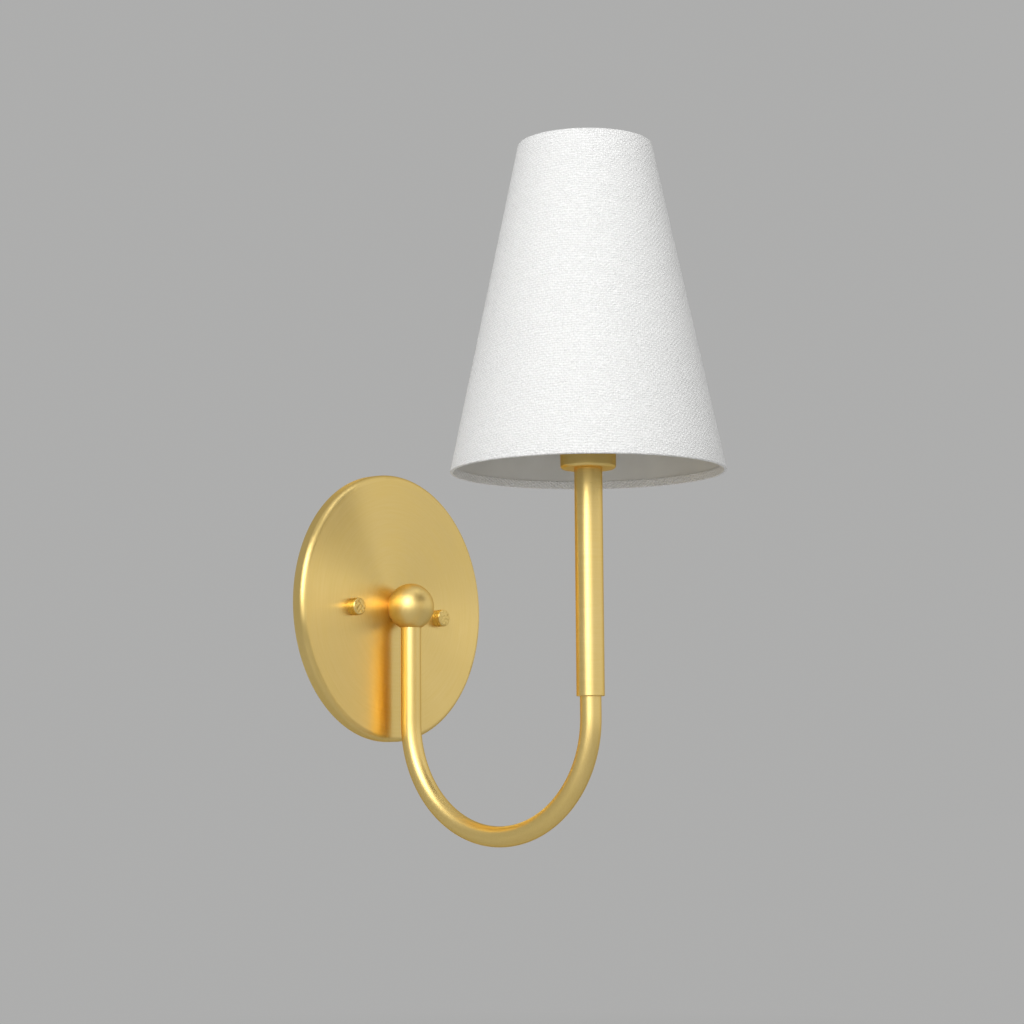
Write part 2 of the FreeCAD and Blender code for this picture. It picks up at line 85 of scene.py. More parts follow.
def roundedCorners(corners, arcSteps=6):
    # a profile from corners across and along, each with a radius that is drawn as a few points
    points = []
    last = len(corners) - 1
    places = profileOf(corners)
    for i, here in enumerate(places):
        radius = corners[i][2] if len(corners[i]) > 2 else 0
        if radius == 0 or i in (0, last):
            points.append(here)
            continue
        back = (places[i - 1] - here).normalized()
        ahead = (places[i + 1] - here).normalized()
        half = back.angle(ahead) / 2
        centre = here + (back + ahead).normalized() * (radius / math.sin(half))
        start = here + back * (radius / math.tan(half)) - centre
        sweep = back.angle_signed(ahead)
        turn = (math.pi - 2 * half) * (1 if sweep > 0 else -1)
        for k in range(arcSteps + 1):
            angle = turn * k / arcSteps
            spun = Vector((start.x * math.cos(angle) - start.y * math.sin(angle),
                           start.x * math.sin(angle) + start.y * math.cos(angle)))
            points.append(centre + spun)
    return points


def turnedPiece(name, profile, base, axis, steps, smoothAngle):
    # draws the profile with extruded points, in a plane through x, and spins it round the axis
    sideways = Vector((1, 0, 0))
    places = [base + sideways * point.x + axis * point.y for point in profile]
    pickNothing()
    bpy.ops.mesh.primitive_plane_add(size=mm)
    piece = bpy.context.object
    piece.name = name
    bpy.ops.object.mode_set(mode="EDIT")
    bpy.ops.mesh.select_mode(type="VERT")
    bpy.ops.mesh.select_all(action="SELECT")
    bpy.ops.mesh.merge(type="CENTER")
    bpy.ops.transform.translate(value=places[0])
    for here, there in zip(places, places[1:]):
        bpy.ops.mesh.extrude_region_move(TRANSFORM_OT_translate={"value": there - here})
    bpy.ops.mesh.select_all(action="SELECT")
    bpy.ops.mesh.spin(steps=steps, angle=fullTurn, center=base, axis=axis)
    bpy.ops.mesh.select_all(action="SELECT")
    bpy.ops.mesh.remove_doubles(threshold=mm / 1000)
    bpy.ops.mesh.delete_loose()
    bpy.ops.mesh.normals_make_consistent(inside=False)
    bpy.ops.object.mode_set(mode="OBJECT")
    bpy.ops.object.shade_smooth_by_angle(angle=math.radians(smoothAngle))
    return piece


def giveFinish(piece, material):
    piece.data.materials.clear()
    piece.data.materials.append(material)


def finishPiece(piece, body, material, carried):
    giveFinish(piece, material)
    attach(piece, body)
    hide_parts(carried)


# helpers for materials, in which owner is a material or the world

noiseSpan = (0.3, 0.7)             # nearly all of a noise's values lie between these


def startMaterial(name, look):
    material = bpy.data.materials.new(name)
    material.use_nodes = True
    shader = material.node_tree.nodes["Principled BSDF"]
    for socket, value in look.items():
        shader.inputs[socket].default_value = value
    return material, shader


def node(owner, kind, settings=None, **sockets):
    # in0, in1 and so on are inputs by number, any other word is an input by name
    made = owner.node_tree.nodes.new(kind)
    for key, value in (settings or {}).items():
        setattr(made, key, value)
    for key, value in sockets.items():
        place = int(key[2:]) if key.startswith("in") and key[2:].isdigit() else key
        if hasattr(value, "is_output"):
            owner.node_tree.links.new(value, made.inputs[place])
        else:
            made.inputs[place].default_value = value
    return made


def feed(owner, value, shader, socket):
    owner.node_tree.links.new(value, shader.inputs[socket])


def ownPlace(material):
    return node(material, "ShaderNodeTexCoord").outputs["Object"]


def partsOf(owner, vector):
    return node(owner, "ShaderNodeSeparateXYZ", None, Vector=vector).outputs


def joined(owner, **parts):
    return node(owner, "ShaderNodeCombineXYZ", None, **parts).outputs[0]


def maths(owner, operation, a, b=0.0):
    return node(owner, "ShaderNodeMath", {"operation": operation}, in0=a, in1=b).outputs[0]


def times(owner, a, b):
    return maths(owner, "MULTIPLY", a, b)


def vectorMaths(owner, operation, output=0, **sockets):
    made = node(owner, "ShaderNodeVectorMath", {"operation": operation}, **sockets)
    return made.outputs[output]


def spread(owner, value, low, high, newLow, newHigh, kind="LINEAR"):
    return node(owner, "ShaderNodeMapRange", {"interpolation_type": kind},
                in0=value, in1=low, in2=high, in3=newLow, in4=newHigh).outputs[0]


def noise(owner, vector, scale, detail, roughness, output=0):
    return node(owner, "ShaderNodeTexNoise", None, Vector=vector, Scale=scale,
                Detail=detail, Roughness=roughness).outputs[output]


def ripple(owner, value, spacing):
    # crosses zero once in each spacing
    return maths(owner, "SINE", times(owner, value, math.pi / spacing))


def paint(material, shader, factor, places, colours):
    # blends the colours, each full at its own value of the factor
    made = node(material, "ShaderNodeValToRGB", None, Fac=factor)
    steps = made.color_ramp.elements
    while len(steps) < len(places):
        steps.new(0.5)
    for step, place, colour in zip(steps, places, colours):
        step.position = place
        step.color = (*colour, 1)
    feed(material, made.outputs[0], shader, "Base Color")


def bump(material, shader, height, distance, strength):
    made = node(material, "ShaderNodeBump", None, Height=height, Distance=distance,
                Strength=strength)
    feed(material, made.outputs[0], shader, "Normal")


# brass: one alloy, brushed in a direction that follows each piece

brassLook = {
    "cut": (0.56, 0.38, 0.12),     # painted shade down in the knurl's cuts
    "deep": (0.87, 0.635, 0.215),
    "pale": (0.935, 0.71, 0.29),
    "edge": (0.90, 0.68, 0.34),    # seen at a slant
    "tones": (0.0, 0.3, 0.7),      # at which cut (painted shade), deep and pale are full
    "grain": (1.0, 2.0, 0.6),      # a noise's scale, detail and roughness
    "clouds": (24.0, 3.0, 0.55),
    "grainSpan": (0.25, 0.75),
    "grainRough": 0.04,            # how far each moves the roughness
    "cloudRough": 0.02,
    "grainDepth": 0.005 * mm,
    "roundRing": 2.2,              # how fast the grain changes round a ring, and round a tube
    "roundTube": 90.0,
}


def brushed(material, shader, shifted, lines, lineScale):
    # rings lie about an axis along y and bands about one along z, and other brass has no direction
    if lines == "rings":
        outward = vectorMaths(material, "MULTIPLY", in0=shifted, in1=(1, 0, 1))
        across = vectorMaths(material, "LENGTH", "Value", in0=outward)
        unit = vectorMaths(material, "NORMALIZE", in0=outward)
        turns = vectorMaths(material, "SCALE", in0=unit, Scale=brassLook["roundRing"])
        rings = joined(material, Y=times(material, across, lineScale))
        feed(material, unit, shader, "Tangent")
        return vectorMaths(material, "ADD", in0=turns, in1=rings)
    scale = (lineScale, lineScale, lineScale)
    if lines == "bands":
        scale = (brassLook["roundTube"], brassLook["roundTube"], lineScale)
        feed(material, joined(material, Z=1.0), shader, "Tangent")
    return node(material, "ShaderNodeMapping", None, Vector=shifted, Scale=scale).outputs[0]


def brass(name, roughness, centre=(0, 0, 0), lines="none", lineScale=2600.0, stretch=0.0,
          relief=0.5, endFace=None):
    look = brassLook
    material, shader = startMaterial(name, {"Metallic": 1.0, "Anisotropic": stretch,
                                            "Specular Tint": (*look["edge"], 1)})
    shifted = vectorMaths(material, "SUBTRACT", in0=ownPlace(material), in1=centre)
    streak = brushed(material, shader, shifted, lines, lineScale)
    grain = noise(material, streak, *look["grain"])
    clouds = noise(material, shifted, *look["clouds"])
    tone = maths(material, "ADD", times(material, grain, 0.5), times(material, clouds, 0.5))
    height, depth = grain, look["grainDepth"]
    if endFace is not None:
        cuts = crossedCuts(material, shifted, endFace)
        fine = times(material, grain, knurlLook["grain"])
        height, depth = maths(material, "SUBTRACT", fine, cuts), knurlLook["depth"]
        # painted shade: the brass is darkened down in the knurl's cuts
        darker = times(material, cuts, knurlLook["darker"])
        tone = maths(material, "SUBTRACT", tone, darker)
    colours = (look["cut"], look["deep"], look["pale"])
    paint(material, shader, tone, look["tones"], colours)
    low, high = roughness - look["grainRough"], roughness + look["grainRough"]
    rough = maths(material, "ADD", spread(material, grain, *look["grainSpan"], low, high),
                  spread(material, clouds, *noiseSpan, -look["cloudRough"], look["cloudRough"]))
    feed(material, rough, shader, "Roughness")
    bump(material, shader, height, depth, relief)
    return material


knurlLook = {
    "pitch": 2.5 * mm,
    "depth": 0.3 * mm,
    "wear": (700.0, 2.0, 0.6),
    "wearSpan": (0.4, 0.6),
    "leastWorn": 1.0,
    "mostWorn": 0.1,
    "grain": 0.02,                 # the brushing's share of the relief
    # how much painted shade darkens the cuts
    "darker": 0.4,
    "fade": (0.35 * mm, 0.1 * mm),    # behind the end face, where the cuts start and are full
}


def crossedCuts(material, shifted, endFace):
    # shallow cuts both ways across the end of a nut, worn unevenly; the mask drives their relief and
    # the painted shade in them
    look = knurlLook
    x, y, z = partsOf(material, shifted)
    slants = []
    for operation in ("ADD", "SUBTRACT"):
        slanted = ripple(material, maths(material, operation, x, z), look["pitch"])
        slants.append(maths(material, "ABSOLUTE", slanted))
    cut = maths(material, "SUBTRACT", 1.0, maths(material, "MINIMUM", *slants))
    wear = noise(material, joined(material, X=x, Z=z), *look["wear"])
    worn = spread(material, wear, *look["wearSpan"], look["mostWorn"], look["leastWorn"])
    start, full = look["fade"]
    onFace = spread(material, y, endFace + start, endFace + full, 0.0, 1.0)
    return times(material, times(material, cut, worn), onFace)


# plain metals, plastics and glass

platedLook = {
    "shader": {"Metallic": 1.0},
    "grain": (900.0, 4.0, 0.6),
    "spots": (160.0, 3.0, 0.5),
    "spotSpan": (0.35, 0.65),
    "spotTone": 0.82,
    "smoother": 0.06,
    "rougher": 0.08,
    "depth": 0.01 * mm,
    "relief": 0.4,
}
mouldedLook = {
    "shader": {"Specular IOR Level": 0.5},
    "grain": (1400.0, 3.0, 0.6),
    "spots": (45.0, 2.0, 0.5),
    "spotSpan": (0.35, 0.65),
    "spotTone": 0.93,
    "smoother": 0.05,
    "rougher": 0.07,
    "depth": 0.01 * mm,
    "relief": 0.5,
}
paperLook = {**mouldedLook, "grain": (700.0, 3.0, 0.6)}


def plainFinish(name, look, colour, roughness):
    material, shader = startMaterial(name, look["shader"])
    place = ownPlace(material)
    grain = noise(material, place, *look["grain"])
    spots = noise(material, place, *look["spots"])
    darker = tuple(part * look["spotTone"] for part in colour)
    paint(material, shader, spots, look["spotSpan"], (darker, colour))
    rough = spread(material, grain, *noiseSpan, roughness - look["smoother"],
                   roughness + look["rougher"])
    feed(material, rough, shader, "Roughness")
    bump(material, shader, grain, look["depth"], look["relief"])
    return material


opalLook = {
    "shader": {"Coat Weight": 0.8, "Coat Roughness": 0.06, "IOR": 1.5},
    "clouds": (30.0, 2.0, 0.5),
    "tones": ((0.84, 0.84, 0.82), (0.9, 0.9, 0.885)),
    "rough": (0.3, 0.38),
}


def opalGlass():
    look = opalLook
    material, shader = startMaterial("opalGlass", look["shader"])
    clouds = noise(material, ownPlace(material), *look["clouds"])
    paint(material, shader, clouds, noiseSpan, look["tones"])
    feed(material, spread(material, clouds, *noiseSpan, *look["rough"]), shader, "Roughness")
    return material


# woven cloth, laid out on the flat cut of the cone

weaveLook = {
    "shader": {"Roughness": 0.92, "Sheen Weight": 0.1, "Sheen Roughness": 0.5,
               "Specular IOR Level": 0.2},
    "weft": 1.15 * mm,             # from one thick weft thread to the next
    "warp": 1.0 * mm,
    # painted shade between the threads, where the cloth lies low
    "gap": (0.745, 0.745, 0.74),
    "pale": (0.905, 0.905, 0.90),
    "tones": (0.0, 0.65),          # at which the painted shade in the gaps and pale are full
    "toneSpan": (0.25, 1.1),       # heights that the tones are spread over
    "relief": 0.26 * mm,
    "wander": 3.0 * mm,            # how far a thread strays
    "drift": (170.0, 4.0, 0.55),
    "beat": 0.42,                  # how much a thread dips under the next one
    "slub": (3.0, 3.0, 0.6),
    "slubLength": 14,              # in thread spacings
    "slubWidth": 3,
    "slubSpan": (0.35, 0.65),
    "thickness": (0.5, 1.12),
    "knots": (800.0, 2.0, 0.7),
    "weftShare": 0.6,              # of the height
    "warpShare": 0.3,
    "knotShare": 0.4,
}


def threads(material, flat, wander, across, spacing, crossing):
    # one set of parallel threads, uneven in thickness and a little wavy
    # across is the coordinate that runs from thread to thread: 0 or 1
    look = weaveLook
    parts = partsOf(material, wander)
    wave = ripple(material, parts[across], spacing)
    over = ripple(material, parts[1 - across], crossing)
    scale = [1 / (look["slubLength"] * spacing)] * 2 + [1]
    scale[across] = 1 / (look["slubWidth"] * spacing)
    drawn = node(material, "ShaderNodeMapping", None, Vector=flat, Scale=scale).outputs[0]
    slub = noise(material, drawn, *look["slub"])
    thick = spread(material, slub, *look["slubSpan"], *look["thickness"])
    beat = times(material, times(material, wave, over), look["beat"])
    rounded = maths(material, "ABSOLUTE", wave)
    return times(material, maths(material, "ADD", rounded, beat), thick)


def wovenCloth(name):
    look = weaveLook
    material, shader = startMaterial(name, look["shader"])
    flat = node(material, "ShaderNodeUVMap", {"uv_map": "flatCut"}).outputs[0]
    drift = noise(material, flat, *look["drift"], output="Color")
    wander = vectorMaths(material, "MULTIPLY_ADD", in0=drift,
                         in1=(look["wander"], look["wander"], 0.0), in2=flat)
    weft = threads(material, flat, wander, 1, look["weft"], look["warp"])
    warp = threads(material, flat, wander, 0, look["warp"], look["weft"])
    knots = noise(material, flat, *look["knots"])
    height = maths(material, "ADD", times(material, weft, look["weftShare"]),
                   times(material, warp, look["warpShare"]))
    height = maths(material, "ADD", height,
                   spread(material, knots, *noiseSpan, 0.0, look["knotShare"]))
    # painted shade: the cloth is painted darker where the threads lie low
    tone = spread(material, height, *look["toneSpan"], 0.0, 1.0)
    paint(material, shader, tone, look["tones"], (look["gap"], look["pale"]))
    bump(material, shader, height, look["relief"], 1.0)
    return material


# camera and light

cameraFit = {
    "place": (-0.84657, -0.75936, -0.08295),
    "heading": 51.164,             # degrees from straight at the wall, to the right
    "pitch": 6.595,
    "roll": -0.40,
    "focalPixels": 2381.19,
    "imagePixels": 1024,
    "sensor": 36.0,
    "nearest": 10 * mm,
}


def placeCamera():
    look = cameraFit
    heading, pitch = math.radians(look["heading"]), math.radians(look["pitch"])
    ahead = Vector((math.sin(heading) * math.cos(pitch),
                    math.cos(heading) * math.cos(pitch), math.sin(pitch)))
    bpy.ops.object.camera_add(location=look["place"])
    camera = bpy.context.object
    camera.rotation_mode = "QUATERNION"
    rolled = Quaternion((0, 0, 1), math.radians(look["roll"]))
    camera.rotation_quaternion = ahead.to_track_quat("-Z", "Y") @ rolled
    camera.data.sensor_width = look["sensor"]
    camera.data.lens = look["focalPixels"] / look["imagePixels"] * look["sensor"]
    camera.data.clip_start = look["nearest"]
    bpy.context.scene.camera = camera


lampAim = Vector((0, lampY / 2, 40 * mm))
lampLook = {
    # the way to it from the object, distance, width, height and power
    "keyLight": ((-0.89, -0.33, 0.40), 1.7, 0.9, 1.1, 12.6),
    "wideLight": ((-0.86, -0.42, 0.37), 1.75, 2.3, 2.1, 8.8),
    "topLight": ((0.1, -0.5, 1.0), 1.8, 0.9, 0.9, 3.0),
    "backLight": ((0.5, 1.0, 0.5), 2.0, 0.8, 0.8, 2.0),
}


def areaLight(name, direction, distance, width, height, power):
    away = Vector(direction).normalized()
    bpy.ops.object.light_add(type="AREA", location=lampAim + away * distance)
    lamp = bpy.context.object
    lamp.name = name
    lamp.rotation_mode = "QUATERNION"
    lamp.rotation_quaternion = away.to_track_quat("Z", "Y")
    lamp.data.shape = "RECTANGLE"
    lamp.data.size, lamp.data.size_y = width, height
    lamp.data.energy = power
    lamp.visible_camera = False


airLook = {
    "colour": (1.0, 1.0, 0.992, 1),
    "wallSide": 0.42,              # pale, seen behind the light and in its metal
    "roomSide": 0.80,
    "turn": (0.5, -0.8),           # from the wall side to the room side, along y
    "given": 0.72,                 # share of it that matt surfaces get
}


def lightScene():
    for name, look in lampLook.items():
        areaLight(name, *look)
    world = bpy.data.worlds.new("studioAir")
    bpy.context.scene.world = world
    world.use_nodes = True
    # paler towards the room than towards the wall
    way = node(world, "ShaderNodeTexCoord").outputs["Generated"]
    seen = spread(world, partsOf(world, way)[1], *airLook["turn"],
                  airLook["wallSide"], airLook["roomSide"], "SMOOTHSTEP")
    # what falls on matt surfaces is a share of what is seen
    path = node(world, "ShaderNodeLightPath").outputs
    share = spread(world, path["Is Diffuse Ray"], 0.0, 1.0, 1.0, airLook["given"])
    air = world.node_tree.nodes["Background"]
    air.inputs["Color"].default_value = airLook["colour"]
    feed(world, times(world, seen, share), air, "Strength")
    bpy.context.scene.view_settings.view_transform = "Standard"


floorLook = {
    "size": 24.0,
    "drop": 160 * mm,              # below the object's lowest point
    "shader": {"Roughness": 0.9, "Specular IOR Level": 0.1},
    "grain": (60.0, 3.0, 0.5),
    "tones": ((0.6, 0.6, 0.595), (0.62, 0.62, 0.615)),
    "fade": (0.35, 0.9),           # metres out, where the backdrop's tone takes over
    "paler": (1.2, 9.0),           # metres out, where the room side's tone comes in
}


def floorPaint():
    look = floorLook
    material, shader = startMaterial("studioFloor", look["shader"])
    place = ownPlace(material)
    grain = noise(material, place, *look["grain"])
    paint(material, shader, grain, noiseSpan, look["tones"])
    # far off it takes the backdrop's own tone, so that no horizon shows
    reach = vectorMaths(material, "LENGTH", "Value", in0=place)
    facing = partsOf(material, vectorMaths(material, "NORMALIZE", in0=place))[1]
    paler = spread(material, facing, *airLook["turn"], 0.0,
                   airLook["roomSide"] - airLook["wallSide"], "SMOOTHSTEP")
    paler = times(material, paler, spread(material, reach, *look["paler"], 0.0, 1.0))
    level = maths(material, "ADD", paler, airLook["wallSide"])
    far = node(material, "ShaderNodeEmission", None, Color=airLook["colour"], Strength=level)
    path = node(material, "ShaderNodeLightPath").outputs
    seen = maths(material, "MAXIMUM", path["Is Camera Ray"], path["Is Glossy Ray"])
    seen = maths(material, "MAXIMUM", seen, path["Is Transmission Ray"])
    fade = times(material, spread(material, reach, *look["fade"], 0.0, 1.0), seen)
    solid = node(material, "ShaderNodeMixShader", None, in0=fade, in1=shader.outputs[0],
                 in2=far.outputs[0])
    # a camera underneath looks up through it
    behind = node(material, "ShaderNodeNewGeometry").outputs["Backfacing"]
    under = times(material, behind, path["Is Camera Ray"])
    clear = node(material, "ShaderNodeBsdfTransparent")
    shown = node(material, "ShaderNodeMixShader", None, in0=under, in1=solid.outputs[0],
                 in2=clear.outputs[0])
    feed(material, shown.outputs[0], material.node_tree.nodes["Material Output"], "Surface")
    return material


def layFloor():
    bpy.ops.mesh.primitive_plane_add(size=floorLook["size"],
                                     location=(0, 0, cadLow.z - floorLook["drop"]))
    floor = bpy.context.object
    floor.name = "studioFloor"
    giveFinish(floor, floorPaint())


placeCamera()
lightScene()
layFloor()
print("camera, lights and floor set")

# shade

shadeLook = {
    "bottomRadius": 62.0 * mm,
    "topRadius": 30.5 * mm,
    "height": 150.0 * mm,
    "cloth": 0.4 * mm,
    "liner": 0.6 * mm,             # with the glue on both sides of it
    "topWire": 2.45 * mm,          # across, with a little slack
    "belowWire": 3.0 * mm,         # over which the cloth comes back to the liner
    "topHem": 8.0 * mm,
    "bottomHem": 3.8 * mm,
    "hemEdge": 0.6,                # of the cloth's thickness, square at its cut edge
    "fold": 0.45 * mm,
    "foldSteps": 4,
    "rows": 12,                    # up the outside
    "steps": 256,
    "smoothAngle": 50,
    "turnIn": 9.0 * mm,            # allowed at each edge of the flat cut
    "level": math.radians(-60),    # where the threads run level, from the front
    "seamSteps": 5,
    "seamRise": 0.35 * mm,
    "seamFacing": 0.9,             # only faces that look outwards are raised
}
shadeSlope = math.atan2(shadeLook["bottomRadius"] - shadeLook["topRadius"], shadeLook["height"])
shadeSlant = shadeLook["height"] / math.cos(shadeSlope)
shadeBottomZ = shadeTopZ - shadeLook["height"]


def onSlope(along, inward, radius=0):
    # up the cone's side and in from its outer surface, as radius and height
    return (shadeLook["bottomRadius"] - along * math.sin(shadeSlope) - inward * math.cos(shadeSlope),
            shadeBottomZ + along * math.cos(shadeSlope) - inward * math.sin(shadeSlope), radius)


def clothProfile():
    # turned in round the liner's bottom edge, up the outside, over the top wire and down inside
    look = shadeLook
    thick, fold, rows = look["cloth"], look["fold"], look["rows"]
    seat = thick + look["liner"]
    hem, topHem = look["bottomHem"], shadeSlant - look["topHem"]
    wireFoot = shadeSlant - look["topWire"] - thick
    wireSide = seat + look["topWire"]
    below = wireFoot - look["belowWire"]
    outside = [onSlope(hem, seat), onSlope(hem, seat + thick * look["hemEdge"]),
               onSlope(hem - thick, seat + thick, fold / 2),
               onSlope(0, seat + thick, fold), onSlope(0, 0, fold)]
    outside += [onSlope(shadeSlant * k / rows, 0) for k in range(1, rows)]
    outside += [onSlope(shadeSlant, 0, fold), onSlope(shadeSlant, wireSide + thick, fold),
                onSlope(wireFoot, wireSide + thick, fold), onSlope(below, seat + thick, fold),
                onSlope(topHem, seat + thick), onSlope(topHem, seat)]
    inside = [onSlope(below, seat), onSlope(wireFoot, wireSide),
              onSlope(shadeSlant - thick, wireSide), onSlope(shadeSlant - thick, thick),
              onSlope(thick, thick), onSlope(thick, seat), onSlope(hem, seat)]
    return roundedCorners(outside + inside, look["foldSteps"])


def raiseSeam(cloth):
    # the cloth's ends overlap opposite the level threads, glued flat
    pickOnly(cloth)
    seamTurn = shadeLook["level"] + math.pi
    seamWay = Vector((math.sin(seamTurn), -math.cos(seamTurn)))
    half = fullTurn / shadeLook["steps"] * shadeLook["seamSteps"] / 2
    for face in cloth.data.polygons:
        away = Vector((face.center.x - lampX, face.center.y - lampY))
        outward = face.normal.xy.dot(seamWay) > shadeLook["seamFacing"]
        face.select = outward and away.angle(seamWay) < half
    bpy.ops.object.mode_set(mode="EDIT")
    bpy.ops.mesh.select_mode(type="FACE")
    bpy.ops.transform.shrink_fatten(value=shadeLook["seamRise"])
    bpy.ops.object.mode_set(mode="OBJECT")


def turnFromLevel(point):
    turn = math.atan2(point.x - lampX, lampY - point.y) - shadeLook["level"]
    return turn - fullTurn if turn > math.pi else turn


def flatCut(cloth):
    # the cloth's own coordinates: the cone unrolled, in metres, with its ends at the seam
    layer = cloth.data.uv_layers.new(name="flatCut")
    apex = shadeBottomZ + shadeLook["bottomRadius"] / math.tan(shadeSlope)
    for face in cloth.data.polygons:
        middleTurn = turnFromLevel(face.center)
        for corner in face.loop_indices:
            point = cloth.data.vertices[cloth.data.loops[corner].vertex_index].co
            turn = turnFromLevel(point)
            if turn - middleTurn > math.pi:
                turn -= fullTurn
            if middleTurn - turn > math.pi:
                turn += fullTurn
            reach = (apex - point.z) / math.cos(shadeSlope)
            unrolled = turn * math.sin(shadeSlope)
            layer.data[corner].uv = (reach * math.sin(unrolled), -reach * math.cos(unrolled))


def layCloth():
    # works out and prints the size of one flat piece cut from the unrolled cone, with the turn-ins
    # at both edges
    turnIn = shadeLook["turnIn"]
    sector = fullTurn * math.sin(shadeSlope)
    outer = shadeLook["bottomRadius"] / math.sin(shadeSlope) + turnIn
    inner = outer - shadeSlant - 2 * turnIn
    width = 2 * outer * math.sin(sector / 2)
    length = outer - inner * math.cos(sector / 2)
    area = sector / 2 * (outer ** 2 - inner ** 2)
    cut = (width / mm, length / mm, area * 10000)
    print("shade cloth cut %.0f by %.0f mm, %.0f square cm" % cut)


def shadeCloth():
    cloth = turnedPiece("shadeCloth", clothProfile(), Vector((lampX, lampY, 0)), upward,
                        shadeLook["steps"], shadeLook["smoothAngle"])
    raiseSeam(cloth)
    flatCut(cloth)
    finishPiece(cloth, "shade", wovenCloth("shadeLinen"), "shade_cover")
    layCloth()


shadeCloth()
print("shade cloth made")

# finishes of the turned and bent brass

plateBrass = brass("plateBrass", 0.34, centre=(0, 0, plateZ), lines="rings", lineScale=1000.0,
                   stretch=0.84, relief=1.0)
stemBrass = brass("stemBrass", 0.32, centre=(lampX, lampY, 0), lines="bands", lineScale=1800.0,
                  stretch=0.2, relief=0.6)
armBrass = brass("armBrass", 0.35, lineScale=1800.0, relief=0.3)
ballBrass = brass("ballBrass", 0.41, relief=0.3)
cupBrass = brass("cupBrass", 0.38, centre=(lampX, lampY, 0), lines="bands", lineScale=2200.0,
                 stretch=0.3)
nutBrass = brass("nutBrass", 0.32, relief=0.6, endFace=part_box("thumb_nut_left")[0].y)

# finishes of the inner and hidden pieces

zinc = plainFinish("zincSteel", platedLook, (0.66, 0.66, 0.65), 0.34)
nickel = plainFinish("nickelBase", platedLook, (0.72, 0.70, 0.66), 0.26)
stamped = plainFinish("stampedBrass", platedLook, (0.80, 0.60, 0.26), 0.3)
solder = plainFinish("solderTip", platedLook, (0.55, 0.55, 0.55), 0.4)
greenScrew = plainFinish("greenScrew", platedLook, (0.07, 0.33, 0.14), 0.38)
holderPlastic = plainFinish("holderMoulding", mouldedLook, (0.80, 0.77, 0.69), 0.42)
blackPlastic = plainFinish("lineInsulation", mouldedLook, (0.02, 0.02, 0.02), 0.4)
whitePlastic = plainFinish("neutralInsulation", mouldedLook, (0.78, 0.77, 0.74), 0.42)
whitePaint = plainFinish("wirePaint", mouldedLook, (0.80, 0.80, 0.78), 0.45)
linerSheet = plainFinish("linerSheet", paperLook, (0.76, 0.755, 0.73), 0.62)


# screw threads, as rings of crests and roots

def threadRun(radius, depth, pitch, low, high):
    root = radius - depth
    turns = int((high - low) / pitch)
    start = low + (high - low - turns * pitch) / 2
    points = [(root, low)]
    for k in range(turns):
        points += [(root, start + k * pitch), (radius, start + (k + 0.5) * pitch)]
    return points + [(root, start + turns * pitch), (root, high)]


studLook = {
    "radius": 2.08 * mm,
    "tip": 1.48 * mm,
    "depth": 0.36 * mm,
    "pitch": 0.79 * mm,
    "chamfer": 0.6 * mm,
    "steps": 40,
}
threadAngle = 20                   # degrees up to which a threaded bar or pipe is shaded smooth


def threadedStuds():
    look = studLook
    places = []
    for nut in ("thumb_nut_left", "thumb_nut_right"):
        low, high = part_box(nut)
        places.append(Vector(((low.x + high.x) / 2, 0, (low.z + high.z) / 2)))
    low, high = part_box("mounting_studs")
    reach = high.y - low.y
    corners = [(0, 0)]
    corners += threadRun(look["radius"], look["depth"], look["pitch"], 0, reach - look["chamfer"])
    corners += [(look["tip"], reach), (0, reach)]
    left = turnedPiece("studLeft", profileOf(corners), places[0], outOfWall,
                       look["steps"], threadAngle)
    pickOnly(left)
    bpy.ops.object.duplicate()
    right = bpy.context.object
    right.name = "studRight"
    bpy.ops.object.mode_set(mode="EDIT")
    bpy.ops.mesh.select_all(action="SELECT")
    bpy.ops.transform.translate(value=places[1] - places[0])
    bpy.ops.object.mode_set(mode="OBJECT")
    for stud in (left, right):
        finishPiece(stud, "fixture", zinc, "mounting_studs")


pipeLook = {
    "radius": 4.8 * mm,
    "bore": 3.2 * mm,
    "depth": 0.42 * mm,
    "pitch": 0.94 * mm,
    "steps": 64,
}


def threadedPipe(name, carried, axis):
    look = pipeLook
    low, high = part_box(carried)
    length = abs((high - low).dot(axis))
    corners = [(look["bore"], 0)]
    corners += threadRun(look["radius"], look["depth"], look["pitch"], 0, length)
    corners += [(look["bore"], length), (look["bore"], 0)]
    pipe = turnedPiece(name, profileOf(corners), (low + high) / 2 - axis * length / 2, axis,
                       look["steps"], threadAngle)
    finishPiece(pipe, "fixture", zinc, carried)


holderLook = {
    "throat": 4.85 * mm,
    "boss": 9.5 * mm,
    "bossHeight": 12.0 * mm,
    "flange": 15.5 * mm,
    "flangeHeight": 2.5 * mm,
    "skirt": 13.4 * mm,            # over its thread
    "mouth": 6.8 * mm,
    "chamber": 6.5 * mm,
    "chamberHeight": 4.5 * mm,
    "threadDepth": 0.6 * mm,
    "threadPitch": 1.6 * mm,
    "plainFoot": 0.4 * mm,         # no thread just over the flange
    "plainTop": 1.2 * mm,
    "edge": 0.6 * mm,
    "steps": 96,
    "smoothAngle": 30,
}


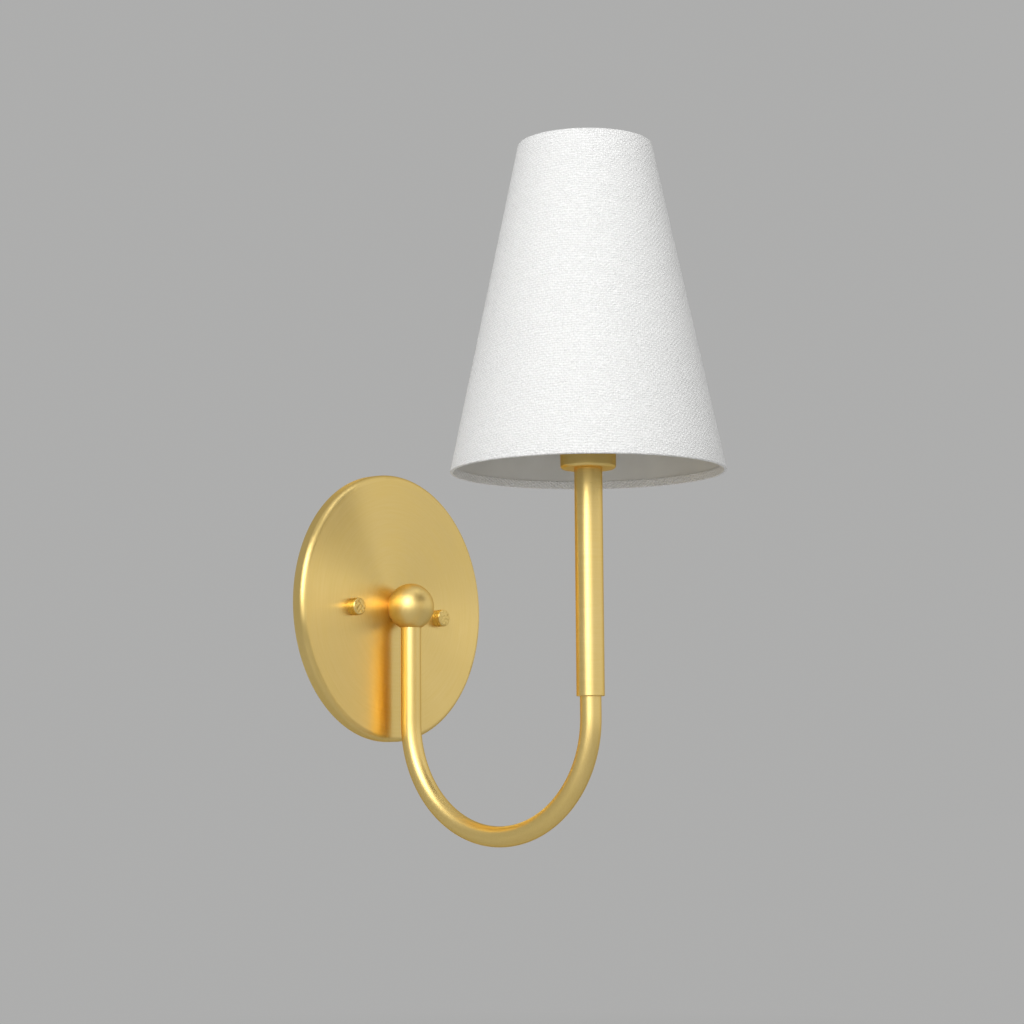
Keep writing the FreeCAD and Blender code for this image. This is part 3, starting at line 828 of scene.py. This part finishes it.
def threadedHolder():
    look = holderLook
    low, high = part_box("lampholder_body")
    height = high.z - low.z
    throat, boss, bossTop = look["throat"], look["boss"], look["bossHeight"]
    flange, ledge = look["flange"], bossTop + look["flangeHeight"]
    mouth, chamber = look["mouth"], look["chamber"]
    chamberFoot = bossTop - look["chamberHeight"]
    root, threadTop = look["skirt"] - look["threadDepth"], height - look["plainTop"]
    edge = look["edge"]
    foot = roundedCorners([(throat, 0), (boss, 0, edge), (boss, bossTop), (flange, bossTop, edge),
                           (flange, ledge, edge / 2), (root, ledge)])
    thread = profileOf(threadRun(look["skirt"], look["threadDepth"], look["threadPitch"],
                                 ledge + look["plainFoot"], threadTop))
    top = roundedCorners([(root, threadTop), (root, height, edge), (mouth, height, edge),
                          (mouth, ledge), (0, ledge)])
    hollow = profileOf([(0, bossTop), (chamber, bossTop), (chamber, chamberFoot),
                        (throat, chamberFoot), (throat, 0)])
    holder = turnedPiece("lampholder", foot + thread + top + hollow,
                         Vector((lampX, lampY, low.z)), upward, look["steps"], look["smoothAngle"])
    finishPiece(holder, "fixture", holderPlastic, "lampholder_body")


bulbBaseLook = {
    "insulator": 3.0 * mm,
    "shoulder": 1.6 * mm,
    "crest": 5.95 * mm,
    "root": 5.45 * mm,
    "pitch": 2.5 * mm,
    "turns": 4,
    "stepsPerTurn": 8,
    "rim": 2.0 * mm,               # plain, where it meets the glass
    "steps": 64,
    "smoothAngle": 40,
}


def rolledBase():
    look = bulbBaseLook
    low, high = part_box("bulb_base")
    length = high.z - low.z
    crest, pitch, perTurn = look["crest"], look["pitch"], look["stepsPerTurn"]
    middle, swing = (crest + look["root"]) / 2, (crest - look["root"]) / 2
    corners = [(0, 0), (look["insulator"], 0)]
    for k in range(perTurn * look["turns"] + 1):
        corners.append((middle - swing * math.cos(fullTurn * k / perTurn),
                        look["shoulder"] + pitch * k / perTurn))
    corners += [(crest, length - look["rim"]), (crest, length), (0, length)]
    base = turnedPiece("bulbBase", profileOf(corners), Vector((lampX, lampY, low.z)), upward,
                       look["steps"], look["smoothAngle"])
    finishPiece(base, "bulb", nickel, "bulb_base")


threadedStuds()
threadedPipe("plateNipple", "wall_nipple", outOfWall)
threadedPipe("stemNipple", "stem_nipple", upward)
threadedHolder()
rolledBase()
print("threaded pieces turned")

finishes = {
    "backplate": plateBrass,
    "arm_ball": ballBrass,
    "arm_tube": armBrass,
    "lamp_stem": stemBrass,
    "socket_cup": cupBrass,
    "thumb_nut_left": nutBrass,
    "thumb_nut_right": nutBrass,
    "crossbar": zinc,
    "stud_nuts": zinc,
    "lock_washer": zinc,
    "lock_nut": zinc,
    "cup_nut": zinc,
    "ground_screw": greenScrew,
    "shade_collar": holderPlastic,
    "screw_shell": stamped,
    "centre_contact": stamped,
    "line_wire": blackPlastic,
    "neutral_wire": whitePlastic,
    "shade_frame": whitePaint,
    "shade_liner": linerSheet,
    "bulb_tip": solder,
    "bulb_glass": opalGlass(),
}
for name, material in finishes.items():
    giveFinish(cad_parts[name], material)
print("finishes given to the carried pieces")
